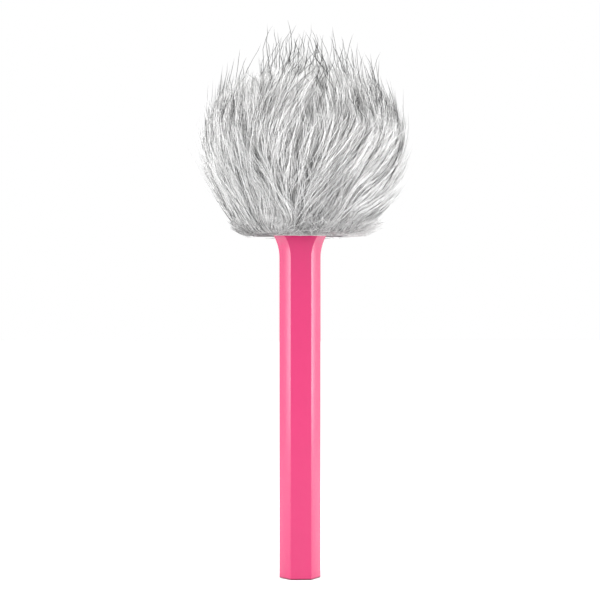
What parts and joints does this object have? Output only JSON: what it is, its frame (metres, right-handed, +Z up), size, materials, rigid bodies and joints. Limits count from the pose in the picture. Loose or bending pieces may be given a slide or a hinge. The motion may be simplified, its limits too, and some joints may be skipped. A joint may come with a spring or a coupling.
{
  "type": "furry windscreen",
  "caption": "Furry windscreen over foam that slips on a flared hexagonal stick handle, with a clip-on wireless transmitter microphone docked inside.",
  "frame": {"origin": "centre of the handle's bottom face, on the axis of the grip", "axes": "+Z up along the grip towards the windscreen, -Y towards the front face, +X to the right seen from the front"},
  "size_m": [0.1, 0.1, 0.28],
  "materials": {
    "handle_pink": "gloss",
    "dock_plastic": "satin",
    "steel": "satin",
    "brass": "satin",
    "soft_pad": "matte",
    "tx_case": "satin",
    "tx_key": "satin",
    "light_pipe": "gloss",
    "board_green": "satin",
    "cell_foil": "satin",
    "antenna_ceramic": "satin",
    "mic_mesh": "satin",
    "socket_black": "satin",
    "collar_plastic": "matte",
    "liner_rubber": "matte",
    "foam": "matte",
    "fur": "matte",
    "elastic": "matte"
  },
  "bodies": {
    "handle": {"handle_shell": "handle_pink", "end_cap": "dock_plastic", "thread_insert": "brass", "dock_insert": "dock_plastic", "dock_screws": "steel", "dock_pad": "soft_pad"},
    "transmitter": {"tx_front_housing": "tx_case", "tx_rear_housing": "tx_case", "tx_screws": "steel", "tx_clip": "tx_case", "tx_light_pipe": "light_pipe", "tx_switches": "steel", "tx_circuit_board": "board_green", "tx_battery": "cell_foil", "tx_radio_can": "steel", "tx_antenna": "antenna_ceramic", "tx_mic_mesh": "mic_mesh", "tx_mic_capsule": "steel", "tx_capsule_boot": "soft_pad", "tx_jack_socket": "socket_black", "tx_usb_socket": "steel"},
    "power_key": {"tx_power_button": "tx_key"},
    "pair_key": {"tx_pair_button": "tx_key"},
    "windscreen": {"collar_liner": "liner_rubber", "base_collar": "collar_plastic", "windscreen_foam": "foam", "fur_cover": "fur", "hem_elastic": "elastic"}
  },
  "joints": [
    {"name": "windscreen_lift", "type": "slide", "parent": "handle", "child": "windscreen", "axis": [0, 0, 1], "range_m": [0, 0.062]},
    {"name": "transmitter_undock", "type": "slide", "parent": "handle", "child": "transmitter", "axis": [0, 0, 1], "range_m": [0, 0.008]},
    {"name": "power_key_press", "type": "slide", "parent": "transmitter", "child": "power_key", "axis": [1, 0, 0], "range_m": [0, 0.0004]},
    {"name": "pair_key_press", "type": "slide", "parent": "transmitter", "child": "pair_key", "axis": [1, 0, 0], "range_m": [0, 0.0004]}
  ]
}
